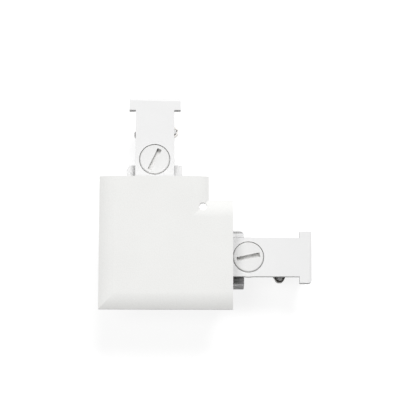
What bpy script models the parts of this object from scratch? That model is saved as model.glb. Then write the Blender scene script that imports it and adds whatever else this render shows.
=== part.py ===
"""Corner connector for a recessed three-circuit lighting track.

An L-shaped flanged cover snaps onto an L-shaped housing. Two equal inserts leave the housing at right
angles and slide into the track profiles: one along +X, one along +Y. Four conductor bars and an earth strip
run round the corner inside, and a coin-slot cam in each insert locks it in its track.

Frame: +Z is the side that the room sees, z = 0 is the flat back of the housing, and the origin is the
crossing of the two track centre lines. Each insert is drawn in its leg's own frame: u outwards along the
track, v to the left of someone who looks outwards, and z up. All sizes are in millimetres and all angles in
degrees.
"""

import math

import bmesh
import bpy

MM = 0.001

# Clearances
GAP = 0.3
CAM_PLAY = 0.25

# Cover, a flange of the track's own width
COVER_WIDTH = 56.0
COVER_LIP = 2.4
COVER_THICK = 3.0
BEVEL_WIDTH = 9.0
BEVEL_DROP = 1.75
CEILING_HOLE_RADIUS = 2.0
CEILING_HOLE_INSET_X = 2.9
CEILING_HOLE_INSET_Y = 3.3

# Whole depth, from the ceiling side to the room side
HEIGHT = 34.0

# Housing, with the outline of the track profile
HOUSING_WIDTH = 36.0
HOUSING_REACH = 38.0
WALL = 1.8
FLOOR = 2.0
RIB_INSET = 7.0
RIB_THICK = 1.6
RIB_BITE = 1.3
BACK_KNOCKOUT_RADIUS = 9.0
SIDE_KNOCKOUT_RADIUS = 5.5
KNOCKOUT_GROOVE = 0.8
KNOCKOUT_DEPTH = 1.1

# Snap hooks of the cover
HOOK_WIDTH = 5.0
HOOK_THICK = 1.4
HOOK_NOSE = 0.9
HOOK_NOSE_TALL = 2.0
HOOK_DEPTH = 6.0
HOOK_AT_CORNER = -6.0
OUTER_HOOK_INSET = 14.0
INNER_HOOK_INSET = 11.0
PAD_THICK = 1.6
PAD_INSET = 1.0

# Insert face shell. Places along it count outwards from the housing's mouth
ARM_DROP = 9.5
PLATE_HALF = 10.0
PLATE_THICK = 3.3
PLATE_INSET = 9.0
HEAD_OFFSET = 36.6
HEAD_LENGTH = 6.1
HEAD_HALF = 13.3
HEAD_THICK = 4.8
HEAD_ROUND = 1.6
TIP_BEVEL_LONG = 1.2
TIP_BEVEL_DEEP = 0.5
Y_INSERT_SEAT = 2.5

# Lock cam
CAM_OFFSET = 10.4
CAM_RADIUS = 7.8
CAM_RIM = 2.2
CAM_EDGE = 0.5
CAM_SLOT_LONG = 12.0
CAM_SLOT_WIDE = 2.3
CAM_SLOT_DEEP = 2.0
CAM_TAB = 0.9
CAM_TAB_TALL = 1.2
CAM_TAB_HALF_ANGLE = 9.0
CAM_TURN = 90.0
CAM_REST_X = 12.3
CAM_REST_Y = -25.5
WING_REACH = 12.2
WING_HALF = 3.0
WING_THICK = 1.6
STUB_RADIUS = 2.5
STUB_LONG = 4.2
WASHER_THICK = 0.5
WASHER_RADIUS = 4.2

# Insert carrier. Places along it count outwards from the housing's mouth
CARRIER_TO_NEST = 4.6
CARRIER_OFFSET = 41.0
FIN = 1.6
FIN_HALF = 7.4
ROOF_HALF = 9.0
NECK_INSET = 12.0
NECK_OFFSET = 8.3
NECK_ROOM_LEFT = 1.7
NECK_ROOM_RIGHT = 2.2
NECK_SLANT_ALONG = 2.1
NECK_SLANT_ACROSS = 1.4
NECK_GROOVE_WIDE = 1.4
NECK_GROOVE_DEEP = 0.5
NECK_GROOVE_RIDGE = 0.9
NECK_GROOVE_PITCH = 2.6

# Insert screws, put in from the back
INSERT_SCREW_INSET = 5.0
INSERT_SCREW_OFFSET = 30.5
INSERT_SCREW_RADIUS = 1.1
INSERT_HEAD_RADIUS = 2.2
INSERT_HEAD_TALL = 1.8
INSERT_HEAD_SINK = 2.5
INSERT_SCREW_COVERED = 1.2
BOSS_RADIUS = 2.6
BOSS_TALL = 6.0

# Conductor bars
LANE = 5.2
BAR_THICK = 0.8
BAR_PLAY = 0.95
BAR_OFFSET = 34.5
BAR_BEND = 1.6
CONTACT_OFFSET = 26.6
CONTACT_HALF = 5.0
CONTACT_CROWN = 0.8
UPPER_REACH = 12.0
LOWER_REACH = 11.0
SET_BACK_REACH = 10.2

# Earth strip
EARTH_WIDTH = 6.0
EARTH_THICK = 0.8
EARTH_BOW_OFFSET = 21.0
EARTH_BOW_HALF = 5.0
EARTH_BOW_DEEP = 1.5
EARTH_HOOK_OFFSET = 36.0
EARTH_HOOK_TALL = 5.0

# Terminal clamps and their nest
CLAMP_SIDE = 7.0
CLAMP_TALL = 6.6
WIRE_LIFT = 2.4
CLAMP_ALONG = 11.5
CLAMP_ALONG_INNER = 10.5
WIRE_RADIUS = 1.6
CLAMP_SCREW_RADIUS = 1.4
CLAMP_HEAD_RADIUS = 2.4
CLAMP_HEAD_TALL = 1.6
CLAMP_SCREW_LIFT = 1.0
DRIVER_SLOT_WIDE = 0.8
DRIVER_SLOT_DEEP = 0.8
NEST_ROOM = 2.0
NEST_MARGIN = 0.4
NEST_CHEEK = 1.0
NEST_CHEEK_TALL = 4.0
NEST_FOOT = 3.0
NEST_FOOT_INSET = 0.5

# Facets
ROUND_STEPS = 24
CAM_STEPS = 48
SCREW_STEPS = 12
BEVEL_STEPS = 7
CORNER_STEPS = 5
BOW_STEPS = 12

# How far a cutter or a joined solid runs past the face that it meets
OVERRUN = 1.0
SINK = 0.4

# Levels, worked out from the back to the room side
FLANGE_UNDER = HEIGHT - COVER_THICK
WALL_TOP = FLANGE_UNDER - GAP
PLATE_TOP = HEIGHT - ARM_DROP
PLATE_UNDER = PLATE_TOP - PLATE_THICK
HEAD_UNDER = PLATE_TOP - HEAD_THICK
ROOF_TOP = PLATE_UNDER - GAP
WING_UNDER = ROOF_TOP - WING_THICK
NECK_TOP = WING_UNDER - GAP
WASHER_UNDER = NECK_TOP - WASHER_THICK
EARTH_UNDER = FLOOR + GAP
CARRIER_UNDER = EARTH_UNDER + EARTH_THICK + GAP
CHANNEL = (NECK_TOP - CARRIER_UNDER - 3 * FIN) / 2
BAR_HEIGHT = CHANNEL - 2 * BAR_PLAY
LOWER_CHANNEL = CARRIER_UNDER + FIN
UPPER_CHANNEL = LOWER_CHANNEL + CHANNEL + FIN
LOWER_LEVEL = LOWER_CHANNEL + CHANNEL / 2
UPPER_LEVEL = UPPER_CHANNEL + CHANNEL / 2
HOOK_CATCH = FLANGE_UNDER - HOOK_DEPTH
NEST_TOP = LOWER_CHANNEL

# Places across a leg
COVER_HALF = COVER_WIDTH / 2
HOUSING_HALF = HOUSING_WIDTH / 2
INSIDE_HALF = HOUSING_HALF - WALL
WEB_HALF = LANE - BAR_THICK / 2 - GAP
TUNNEL_OUT = LANE + BAR_THICK / 2 + GAP
NECK_LEFT = INSIDE_HALF - NECK_ROOM_LEFT
NECK_RIGHT = INSIDE_HALF - NECK_ROOM_RIGHT
NEST_HALF = INSIDE_HALF - NEST_ROOM

# Places along a leg, from the crossing of the centre lines
INSIDE_REACH = HOUSING_REACH - WALL
COVER_REACH = HOUSING_REACH + COVER_LIP
OUTER_HOOK_AT = HOUSING_REACH - OUTER_HOOK_INSET
INNER_HOOK_AT = HOUSING_REACH - INNER_HOOK_INSET
RIB_AT = HOUSING_REACH - RIB_INSET
PLATE_IN = HOUSING_REACH - PLATE_INSET
CAM_AT = HOUSING_REACH + CAM_OFFSET
HEAD_IN = HOUSING_REACH + HEAD_OFFSET
HEAD_OUT = HEAD_IN + HEAD_LENGTH
CHEEK_REACH = CLAMP_SIDE / 2 + GAP + NEST_CHEEK
NEST_REACH = max(CLAMP_ALONG + CHEEK_REACH, NEST_HALF) + NEST_MARGIN
CARRIER_IN = NEST_REACH + CARRIER_TO_NEST
CARRIER_OUT = HOUSING_REACH + CARRIER_OFFSET
NECK_IN = HOUSING_REACH - NECK_INSET
NECK_OUT = HOUSING_REACH + NECK_OFFSET
INSERT_SCREWS = {
    "inner": HOUSING_REACH - INSERT_SCREW_INSET,
    "outer": HOUSING_REACH + INSERT_SCREW_OFFSET,
}
BAR_OUT = HOUSING_REACH + BAR_OFFSET
CONTACT_AT = HOUSING_REACH + CONTACT_OFFSET
EARTH_BOW_AT = HOUSING_REACH + EARTH_BOW_OFFSET
EARTH_HOOK_AT = HOUSING_REACH + EARTH_HOOK_OFFSET


def clear_scene():
    for old in list(bpy.data.objects):
        bpy.data.objects.remove(old, do_unlink=True)


def finish(name, colour, roughness, metallic=0.0):
    """A plain Principled material."""
    material = bpy.data.materials.new(name)
    material.use_nodes = True
    shader = material.node_tree.nodes["Principled BSDF"]
    shader.inputs["Base Color"].default_value = (*colour, 1.0)
    shader.inputs["Roughness"].default_value = roughness
    shader.inputs["Metallic"].default_value = metallic
    return material


def frame_empty(name, along=0.0, turn=0.0, parent=None):
    """An empty that stands for a leg's or an insert's own frame."""
    empty = bpy.data.objects.new(name, None)
    empty.location = (along * MM, 0.0, 0.0)
    empty.rotation_euler = (0.0, 0.0, math.radians(turn))
    empty.parent = parent
    bpy.context.collection.objects.link(empty)
    return empty


def solid(name, bm, material=None, parent=None):
    """An object from a closed bmesh, with its normals out and its round faces smooth."""
    bmesh.ops.recalc_face_normals(bm, faces=bm.faces)
    mesh = bpy.data.meshes.new(name)
    bm.to_mesh(mesh)
    bm.free()
    mesh.shade_smooth()
    mesh.set_sharp_from_angle(angle=math.radians(35.0))
    if material:
        mesh.materials.append(material)
    obj = bpy.data.objects.new(name, mesh)
    obj.parent = parent
    bpy.context.collection.objects.link(obj)
    return obj


def prism(name, outline, low, high, along="Z", material=None, parent=None):
    """A closed outline extruded along one axis. For X the outline is (y, z), for Y it is (x, z)."""
    places = {
        "X": lambda a, b, c: (c * MM, a * MM, b * MM),
        "Y": lambda a, b, c: (a * MM, c * MM, b * MM),
        "Z": lambda a, b, c: (a * MM, b * MM, c * MM),
    }
    place = places[along]
    bm = bmesh.new()
    base = bm.faces.new([bm.verts.new(place(a, b, low)) for a, b in outline])
    grown = bmesh.ops.extrude_face_region(bm, geom=[base], use_keep_orig=True)
    shift = [high_one - low_one for high_one, low_one in zip(place(0, 0, high), place(0, 0, low))]
    top = [item for item in grown["geom"] if isinstance(item, bmesh.types.BMVert)]
    bmesh.ops.translate(bm, verts=top, vec=shift)
    return solid(name, bm, material, parent)


def block(name, x, y, z, material=None, parent=None):
    """A box from three (low, high) pairs."""
    outline = [(x[0], y[0]), (x[1], y[0]), (x[1], y[1]), (x[0], y[1])]
    return prism(name, outline, z[0], z[1], "Z", material, parent)


def turned(name, profile, steps, material=None, parent=None, at=(0.0, 0.0)):
    """A profile of (radius, z) points turned about Z, with flats across X and Y. A ring closes itself."""
    bm = bmesh.new()
    start = math.pi / steps
    verts = [
        bm.verts.new((radius * math.cos(start) * MM, radius * math.sin(start) * MM, z * MM))
        for radius, z in profile
    ]
    edges = [bm.edges.new(pair) for pair in zip(verts, verts[1:])]
    if profile[0][0] > 0.0:
        edges.append(bm.edges.new((verts[-1], verts[0])))
    bmesh.ops.spin(
        bm,
        geom=verts + edges,
        cent=(0.0, 0.0, 0.0),
        axis=(0.0, 0.0, 1.0),
        angle=math.tau,
        steps=steps,
        use_merge=True,
    )
    bmesh.ops.remove_doubles(bm, verts=bm.verts, dist=1e-7)
    obj = solid(name, bm, material, parent)
    obj.location = (at[0] * MM, at[1] * MM, 0.0)
    return obj


def cylinder(name, radius, z, at=(0.0, 0.0), steps=ROUND_STEPS, parent=None):
    return stepped(name, z[1], [(radius, z[0])], at, steps, parent)


def stepped(name, top, steps_down, at=(0.0, 0.0), steps=ROUND_STEPS, parent=None):
    """A round solid with coaxial steps, from its top down: each step gives a radius and where it ends."""
    profile = [(0.0, top)]
    for radius, end in steps_down:
        profile += [(radius, profile[-1][1]), (radius, end)]
    return turned(name, profile + [(0.0, profile[-1][1])], steps, None, parent, at)


def arc(centre, radius, start, end, steps):
    """Points on an arc, both ends included, with the angles in degrees."""
    angles = [math.radians(start + (end - start) * step / steps) for step in range(steps + 1)]
    return [(centre[0] + radius * math.cos(a), centre[1] + radius * math.sin(a)) for a in angles]


def ribbon(path, thick):
    """The outline of a strip of even thickness that follows a path, with mitred bends."""
    left, right = [], []
    for index, (x, y) in enumerate(path):
        before = path[max(index - 1, 0)]
        after = path[min(index + 1, len(path) - 1)]
        turn_in = math.atan2(y - before[1], x - before[0]) if index else None
        turn_out = math.atan2(after[1] - y, after[0] - x) if index < len(path) - 1 else turn_in
        turn_in = turn_out if turn_in is None else turn_in
        half_turn = math.remainder(turn_out - turn_in, math.tau) / 2
        side = turn_in + half_turn + math.pi / 2
        out = thick / 2 / math.cos(half_turn)
        left.append((x + out * math.cos(side), y + out * math.sin(side)))
        right.append((x - out * math.cos(side), y - out * math.sin(side)))
    return left + right[::-1]


def combine(target, operation, tools):
    """Booleans left on the target. The tools are guides and stay out of the model."""
    for tool in tools:
        tool.hide_render = True
        tool.display_type = "WIRE"
        modifier = target.modifiers.new(tool.name, "BOOLEAN")
        modifier.operation = operation
        modifier.solver = "EXACT"
        modifier.object = tool
    return target


def join(target, *tools):
    return combine(target, "UNION", tools)


def cut(target, *tools):
    return combine(target, "DIFFERENCE", tools)


def bump(at, centre, half, tall, crown=0.0):
    """A smooth swelling along a strip: tall out to its crown on both sides and nothing past half."""
    away = max(abs(at - centre) - crown, 0.0)
    slope = half - crown
    return tall / 2 * (1 + math.cos(math.pi * away / slope)) if away < slope else 0.0


def cover_profile():
    """Half-widths and heights across the flange, with its two convex bevels."""
    radius = (BEVEL_WIDTH**2 + BEVEL_DROP**2) / (2 * BEVEL_DROP)
    sweep = math.degrees(math.asin(BEVEL_WIDTH / radius))
    flat = COVER_HALF - BEVEL_WIDTH
    right = arc((flat, HEIGHT - radius), radius, 90.0 - sweep, 90.0, BEVEL_STEPS)
    left = [(-across, z) for across, z in right[::-1]]
    return [(COVER_HALF, FLANGE_UNDER)] + right + left + [(-COVER_HALF, FLANGE_UNDER)]


def cover_blank(material):
    """The flange profile swept round the corner with a mitre, from two end sections and a diagonal one."""
    bm = bmesh.new()
    sections = []
    for place in (
        lambda across, z: (COVER_REACH, across, z),
        lambda across, z: (across, across, z),
        lambda across, z: (across, COVER_REACH, z),
    ):
        sections.append([bm.verts.new([value * MM for value in place(*point)]) for point in cover_profile()])
    for first, second in zip(sections, sections[1:]):
        for index in range(len(first)):
            after = (index + 1) % len(first)
            bm.faces.new((first[index], first[after], second[after], second[index]))
    bm.faces.new(sections[0])
    bm.faces.new(sections[-1])
    return solid("cover_plate", bm, material)


def hook_places(legs):
    """Each snap hook's leg frame, place along the leg and side of the leg."""
    outer_side = {"x": -1, "y": 1}
    for name, leg in legs.items():
        for label, along in (("corner", HOOK_AT_CORNER), ("outer", OUTER_HOOK_AT)):
            yield f"{name}_{label}", leg, along, outer_side[name]
        yield f"{name}_inner", leg, INNER_HOOK_AT, -outer_side[name]


def snap_hook(label, leg, along, side):
    """A leg that hangs from the flange inside the wall, and its nose."""
    face = INSIDE_HALF - GAP
    width = (along - HOOK_WIDTH / 2, along + HOOK_WIDTH / 2)
    across = sorted((side * face, side * (face - HOOK_THICK)))
    stem = block(
        f"hook_{label}", width, across, (HOOK_CATCH - HOOK_NOSE_TALL, FLANGE_UNDER + SINK), parent=leg
    )
    wedge = [
        (side * (face - SINK), HOOK_CATCH),
        (side * (face + HOOK_NOSE), HOOK_CATCH),
        (side * (face - SINK), HOOK_CATCH - HOOK_NOSE_TALL),
    ]
    nose = prism(f"nose_{label}", wedge, width[0], width[1], "X", parent=leg)
    return stem, nose


def hook_window(label, leg, along, side):
    """The opening in the housing wall that the hook's nose catches in."""
    half = HOOK_WIDTH / 2 + GAP
    across = sorted((side * (INSIDE_HALF - OVERRUN), side * (HOUSING_HALF + OVERRUN)))
    tall = (HOOK_CATCH - HOOK_NOSE_TALL - GAP, HOOK_CATCH + GAP)
    return block(f"window_{label}", (along - half, along + half), across, tall, parent=leg)


def make_cover(legs, seats, material):
    cover = cover_blank(material)
    for place in hook_places(legs):
        join(cover, *snap_hook(*place))
    for name, leg in legs.items():
        start = PLATE_IN + seats[name] + PAD_INSET
        reach = PLATE_HALF - 2 * PAD_INSET
        tall = (PLATE_TOP + GAP, FLANGE_UNDER + SINK)
        join(cover, block(f"pad_{name}", (start, start + PAD_THICK), (-reach, reach), tall, parent=leg))
    hole = (COVER_HALF - CEILING_HOLE_INSET_X, COVER_HALF - CEILING_HOLE_INSET_Y)
    through = (FLANGE_UNDER - OVERRUN, HEIGHT + OVERRUN)
    return cut(cover, cylinder("ceiling_hole", CEILING_HOLE_RADIUS, through, hole))


def leg_outline(half, reach):
    """The L of two equal legs about the crossing of their centre lines."""
    return [(-half, -half), (reach, -half), (reach, half), (half, half), (half, reach), (-half, reach)]


def knockout_ring(name, radius, depth):
    """A ring groove that leaves a disc to be knocked out, cut from z = 0 upwards."""
    inner = radius - KNOCKOUT_GROOVE
    profile = [(inner, -OVERRUN), (radius, -OVERRUN), (radius, depth), (inner, depth)]
    return turned(name, profile, ROUND_STEPS)


def make_housing(legs, seats, material):
    outside = leg_outline(HOUSING_HALF, HOUSING_REACH)
    housing = prism("corner_housing", outside, 0.0, WALL_TOP, material=material)
    inside = leg_outline(INSIDE_HALF, INSIDE_REACH)
    cut(housing, prism("housing_inside", inside, FLOOR, WALL_TOP + OVERRUN))
    for name, leg in legs.items():
        mouth = (INSIDE_REACH - OVERRUN, HOUSING_REACH + OVERRUN)
        across = (-NECK_RIGHT - GAP, NECK_LEFT + GAP)
        cut(housing, block(f"mouth_{name}", mouth, across, (FLOOR, WALL_TOP + OVERRUN), parent=leg))
        rib = (RIB_AT + seats[name], RIB_AT + seats[name] + RIB_THICK)
        tall = (FLOOR - SINK, NECK_TOP)
        left = (NECK_LEFT - RIB_BITE, INSIDE_HALF + SINK)
        right = (-INSIDE_HALF - SINK, -NECK_RIGHT + RIB_BITE)
        join(housing, block(f"rib_left_{name}", rib, left, tall, parent=leg))
        join(housing, block(f"rib_right_{name}", rib, right, tall, parent=leg))
    for place in hook_places(legs):
        cut(housing, hook_window(*place))
    cut(housing, knockout_ring("knockout_back", BACK_KNOCKOUT_RADIUS, KNOCKOUT_DEPTH))
    middle = (FLOOR + WALL_TOP) / 2
    for name, turn in (("knockout_south", (-90.0, 0.0)), ("knockout_west", (0.0, 90.0))):
        ring = knockout_ring(name, SIDE_KNOCKOUT_RADIUS, KNOCKOUT_DEPTH)
        ring.rotation_euler = (math.radians(turn[0]), math.radians(turn[1]), 0.0)
        away = -HOUSING_HALF * MM
        ring.location = (0.0, away, middle * MM) if name == "knockout_south" else (away, 0.0, middle * MM)
        cut(housing, ring)
    return housing


def plate_outline():
    """The T of the face shell, swelling a little round the cam and rounded at one corner of its head."""
    rim = CAM_RADIUS + CAM_PLAY + CAM_RIM
    lean = math.degrees(math.acos(min(PLATE_HALF / rim, 1.0)))
    right_swell = arc((CAM_AT, 0.0), rim, -90.0 - lean, -90.0 + lean, CORNER_STEPS)
    left_swell = arc((CAM_AT, 0.0), rim, 90.0 - lean, 90.0 + lean, CORNER_STEPS)
    return (
        [(PLATE_IN, -PLATE_HALF)]
        + right_swell
        + [(HEAD_IN, -PLATE_HALF)]
        + head_outline()
        + [(HEAD_IN, PLATE_HALF)]
        + left_swell
        + [(PLATE_IN, PLATE_HALF)]
    )


def head_outline():
    """The head bar of the T, with the corner on the right of the outward view rounded."""
    corner = (HEAD_OUT - HEAD_ROUND, HEAD_ROUND - HEAD_HALF)
    rounded = arc(corner, HEAD_ROUND, -90.0, 0.0, CORNER_STEPS)
    return [(HEAD_IN, -HEAD_HALF)] + rounded + [(HEAD_OUT, HEAD_HALF), (HEAD_IN, HEAD_HALF)]


def sector(inner, outer, middle, half_angle, steps):
    """A piece of a ring seen from above."""
    far = arc((0.0, 0.0), outer, middle - half_angle, middle + half_angle, steps)
    near = arc((0.0, 0.0), inner, middle + half_angle, middle - half_angle, steps)
    return far + near


def make_face_shell(name, insert, material):
    shell = prism(f"insert_face_{name}", plate_outline(), PLATE_UNDER, PLATE_TOP, "Z", material, insert)
    join(shell, prism(f"head_pad_{name}", head_outline(), HEAD_UNDER, PLATE_UNDER + SINK, parent=insert))
    for label, along in INSERT_SCREWS.items():
        tall = (PLATE_UNDER - BOSS_TALL, PLATE_UNDER + SINK)
        deep = (tall[0] - OVERRUN, PLATE_TOP - INSERT_SCREW_COVERED + GAP)
        radius = INSERT_SCREW_RADIUS + GAP
        join(shell, cylinder(f"boss_{name}_{label}", BOSS_RADIUS, tall, (along, 0.0), parent=insert))
        cut(shell, cylinder(f"pilot_{name}_{label}", radius, deep, (along, 0.0), ROUND_STEPS, insert))
    slope = TIP_BEVEL_DEEP / TIP_BEVEL_LONG
    back = HEAD_OUT - TIP_BEVEL_LONG - OVERRUN
    front = HEAD_OUT + OVERRUN
    wedge = [
        (back, PLATE_TOP + slope * OVERRUN),
        (front, PLATE_TOP - TIP_BEVEL_DEEP - slope * OVERRUN),
        (front, PLATE_TOP + slope * OVERRUN),
    ]
    wide = HEAD_HALF + OVERRUN
    cut(shell, prism(f"tip_bevel_{name}", wedge, -wide, wide, "Y", parent=insert))
    through = (PLATE_UNDER - OVERRUN, PLATE_TOP + OVERRUN)
    seat = cylinder(f"cam_seat_{name}", CAM_RADIUS + CAM_PLAY, through, (CAM_AT, 0.0), CAM_STEPS, insert)
    half_angle = CAM_TURN + CAM_TAB_HALF_ANGLE + math.degrees(GAP / CAM_RADIUS)
    groove = sector(CAM_RADIUS - OVERRUN, CAM_RADIUS + CAM_TAB + CAM_PLAY, 180.0, half_angle, CAM_STEPS // 2)
    tall = (PLATE_UNDER - OVERRUN, PLATE_UNDER + CAM_TAB_TALL + GAP)
    track = prism(f"stop_track_{name}", groove, tall[0], tall[1], parent=insert)
    track.location = (CAM_AT * MM, 0.0, 0.0)
    cut(shell, seat, track)
    # The exact solver leaves open edges where the second boss meets the plate.
    for modifier in shell.modifiers:
        modifier.solver = "MANIFOLD"
    return shell


def spine_outline():
    """The carrier's comb section as (across, z): a web, three fins and the roof under the face shell."""
    right = [
        (FIN_HALF, CARRIER_UNDER),
        (FIN_HALF, LOWER_CHANNEL),
        (WEB_HALF, LOWER_CHANNEL),
        (WEB_HALF, LOWER_CHANNEL + CHANNEL),
        (FIN_HALF, LOWER_CHANNEL + CHANNEL),
        (FIN_HALF, UPPER_CHANNEL),
        (WEB_HALF, UPPER_CHANNEL),
        (WEB_HALF, UPPER_CHANNEL + CHANNEL),
        (ROOF_HALF, UPPER_CHANNEL + CHANNEL),
        (ROOF_HALF, ROOF_TOP),
    ]
    return right + [(-across, z) for across, z in right[::-1]]


def neck_outline():
    """The neck in plan, with the notches for the housing's ribs and one slanted front corner."""
    notch = (RIB_AT - GAP, RIB_AT + RIB_THICK + GAP)
    bite = RIB_BITE + GAP
    return [
        (NECK_IN, -NECK_RIGHT),
        (notch[0], -NECK_RIGHT),
        (notch[0], bite - NECK_RIGHT),
        (notch[1], bite - NECK_RIGHT),
        (notch[1], -NECK_RIGHT),
        (NECK_OUT, -NECK_RIGHT),
        (NECK_OUT, NECK_LEFT - NECK_SLANT_ACROSS),
        (NECK_OUT - NECK_SLANT_ALONG, NECK_LEFT),
        (notch[1], NECK_LEFT),
        (notch[1], NECK_LEFT - bite),
        (notch[0], NECK_LEFT - bite),
        (notch[0], NECK_LEFT),
        (NECK_IN, NECK_LEFT),
    ]


def make_carrier(name, insert, material):
    carrier = prism(
        f"insert_carrier_{name}", spine_outline(), CARRIER_IN, CARRIER_OUT, "X", material, insert
    )
    join(carrier, prism(f"neck_{name}", neck_outline(), CARRIER_UNDER, NECK_TOP, parent=insert))
    along = (NECK_IN - OVERRUN, NECK_OUT + OVERRUN)
    for side, edge in (("left", NECK_LEFT), ("right", -NECK_RIGHT)):
        sign = math.copysign(1.0, edge)
        for row in range(2):
            near = edge - sign * (NECK_GROOVE_RIDGE + row * NECK_GROOVE_PITCH)
            across = sorted((near, near - sign * NECK_GROOVE_WIDE))
            tall = (NECK_TOP - NECK_GROOVE_DEEP, ROOF_TOP + OVERRUN)
            cut(carrier, block(f"neck_groove_{name}_{side}_{row}", along, across, tall, parent=insert))
        for level, floor in (("lower", LOWER_CHANNEL), ("upper", UPPER_CHANNEL)):
            across = sorted((sign * WEB_HALF, sign * TUNNEL_OUT))
            tall = (floor, floor + CHANNEL)
            cut(carrier, block(f"tunnel_{name}_{side}_{level}", along, across, tall, parent=insert))
    above = ROOF_TOP + OVERRUN
    cam_room = [
        (WING_REACH + GAP, NECK_TOP),
        (WASHER_RADIUS + GAP, WASHER_UNDER - GAP),
        (STUB_RADIUS + GAP, WING_UNDER - STUB_LONG - GAP),
    ]
    cut(carrier, stepped(f"cam_room_{name}", above, cam_room, (CAM_AT, 0.0), CAM_STEPS, insert))
    screw_room = [
        (BOSS_RADIUS + GAP, PLATE_UNDER - BOSS_TALL - GAP),
        (INSERT_SCREW_RADIUS + GAP, CARRIER_UNDER + INSERT_HEAD_SINK + GAP),
        (INSERT_HEAD_RADIUS + GAP, CARRIER_UNDER - OVERRUN),
    ]
    for label, place in INSERT_SCREWS.items():
        cut(carrier, stepped(f"screw_room_{name}_{label}", above, screw_room, (place, 0.0), parent=insert))
    relief = (HEAD_IN - GAP, CARRIER_OUT + OVERRUN)
    wide = ROOF_HALF + OVERRUN
    hook = (EARTH_HOOK_AT - EARTH_THICK / 2 - GAP, EARTH_HOOK_AT + EARTH_THICK / 2 + GAP)
    hook_half = EARTH_WIDTH / 2 + GAP
    hook_tall = (CARRIER_UNDER - OVERRUN, EARTH_UNDER + EARTH_HOOK_TALL + GAP)
    return cut(
        carrier,
        block(f"head_relief_{name}", relief, (-wide, wide), (HEAD_UNDER - GAP, above), parent=insert),
        block(f"earth_slot_{name}", hook, (-hook_half, hook_half), hook_tall, parent=insert),
    )


def wing_outline():
    """A long lug with round ends."""
    end = WING_REACH - WING_HALF
    right = arc((end, 0.0), WING_HALF, -90.0, 90.0, CORNER_STEPS * 2)
    left = arc((-end, 0.0), WING_HALF, 90.0, 270.0, CORNER_STEPS * 2)
    return right + left


def make_cam(name, insert, rest, material):
    """Disc, wing, stub and stop tab in one moulding about its own axis, with slot and wing along u."""
    stub_end = WING_UNDER - STUB_LONG
    under = ROOF_TOP - SINK
    profile = [
        (0.0, PLATE_TOP),
        (CAM_RADIUS - CAM_EDGE, PLATE_TOP),
        (CAM_RADIUS, PLATE_TOP - CAM_EDGE),
        (CAM_RADIUS, under),
        (STUB_RADIUS, under),
        (STUB_RADIUS, stub_end + SINK),
        (STUB_RADIUS - SINK, stub_end),
        (0.0, stub_end),
    ]
    cam = turned(f"lock_cam_{name}", profile, CAM_STEPS, material, insert, (CAM_AT, 0.0))
    cam.rotation_euler = (0.0, 0.0, math.radians(rest))
    join(cam, prism(f"wing_{name}", wing_outline(), WING_UNDER, ROOF_TOP, parent=cam))
    tab = sector(CAM_RADIUS - OVERRUN, CAM_RADIUS + CAM_TAB, 180.0, CAM_TAB_HALF_ANGLE, CORNER_STEPS)
    join(cam, prism(f"stop_tab_{name}", tab, under + SINK / 2, PLATE_UNDER + CAM_TAB_TALL, parent=cam))
    long = (-CAM_SLOT_LONG / 2, CAM_SLOT_LONG / 2)
    wide = (-CAM_SLOT_WIDE / 2, CAM_SLOT_WIDE / 2)
    deep = (PLATE_TOP - CAM_SLOT_DEEP, PLATE_TOP + OVERRUN)
    return cut(cam, block(f"coin_slot_{name}", long, wide, deep, parent=cam))


def make_washer(name, insert, material):
    inner = STUB_RADIUS + GAP
    top = NECK_TOP
    profile = [(inner, WASHER_UNDER), (WASHER_RADIUS, WASHER_UNDER), (WASHER_RADIUS, top), (inner, top)]
    return turned(f"cam_washer_{name}", profile, ROUND_STEPS, material, insert, (CAM_AT, 0.0))


def make_insert_screw(name, label, along, insert, material):
    """A long screw whose head lies in the carrier's back and whose tip ends in the face shell's boss."""
    seat = CARRIER_UNDER + INSERT_HEAD_SINK
    tip = PLATE_TOP - INSERT_SCREW_COVERED
    profile = [
        (0.0, tip),
        (INSERT_SCREW_RADIUS, tip),
        (INSERT_SCREW_RADIUS, seat),
        (INSERT_HEAD_RADIUS, seat),
        (INSERT_HEAD_RADIUS, seat - INSERT_HEAD_TALL),
        (0.0, seat - INSERT_HEAD_TALL),
    ]
    screw = turned(f"insert_screw_{name}_{label}", profile, SCREW_STEPS, material, insert, (along, 0.0))
    under = (seat - INSERT_HEAD_TALL - OVERRUN, seat - INSERT_HEAD_TALL + DRIVER_SLOT_DEEP)
    long = (-INSERT_HEAD_RADIUS - OVERRUN, INSERT_HEAD_RADIUS + OVERRUN)
    wide = (-DRIVER_SLOT_WIDE / 2, DRIVER_SLOT_WIDE / 2)
    return cut(screw, block(f"insert_slot_{name}_{label}", long, wide, under, parent=screw))


def leg_samples(centre, half, start, end):
    """Places along a strip, close together where it bows and only at its ends elsewhere."""
    bow = [centre - half + 2 * half * step / BOW_STEPS for step in range(BOW_STEPS + 1)]
    return [start] + [place for place in bow if start < place < end] + [end]


def bar_across(along, contact, reach):
    """How far a bar's middle line is from the leg's, with its contact springing out to its reach."""
    return LANE + bump(along, contact, CONTACT_HALF, reach - LANE - BAR_THICK / 2, CONTACT_CROWN)


def bar_path(side, x_reach, y_reach):
    """A bar's middle line in plan, from its end in the +X insert round the corner to the +Y insert."""
    corner = side * LANE + BAR_BEND
    x_leg = [
        (along, side * bar_across(along, CONTACT_AT, x_reach))
        for along in leg_samples(CONTACT_AT, CONTACT_HALF, corner, BAR_OUT)
    ]
    contact = CONTACT_AT + Y_INSERT_SEAT
    y_leg = [
        (side * bar_across(along, contact, y_reach), along)
        for along in leg_samples(contact, CONTACT_HALF, corner, BAR_OUT + Y_INSERT_SEAT)
    ]
    bend = arc((corner, corner), BAR_BEND, 270.0, 180.0, CORNER_STEPS)
    return x_leg[:0:-1] + bend + y_leg[1:]


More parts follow.
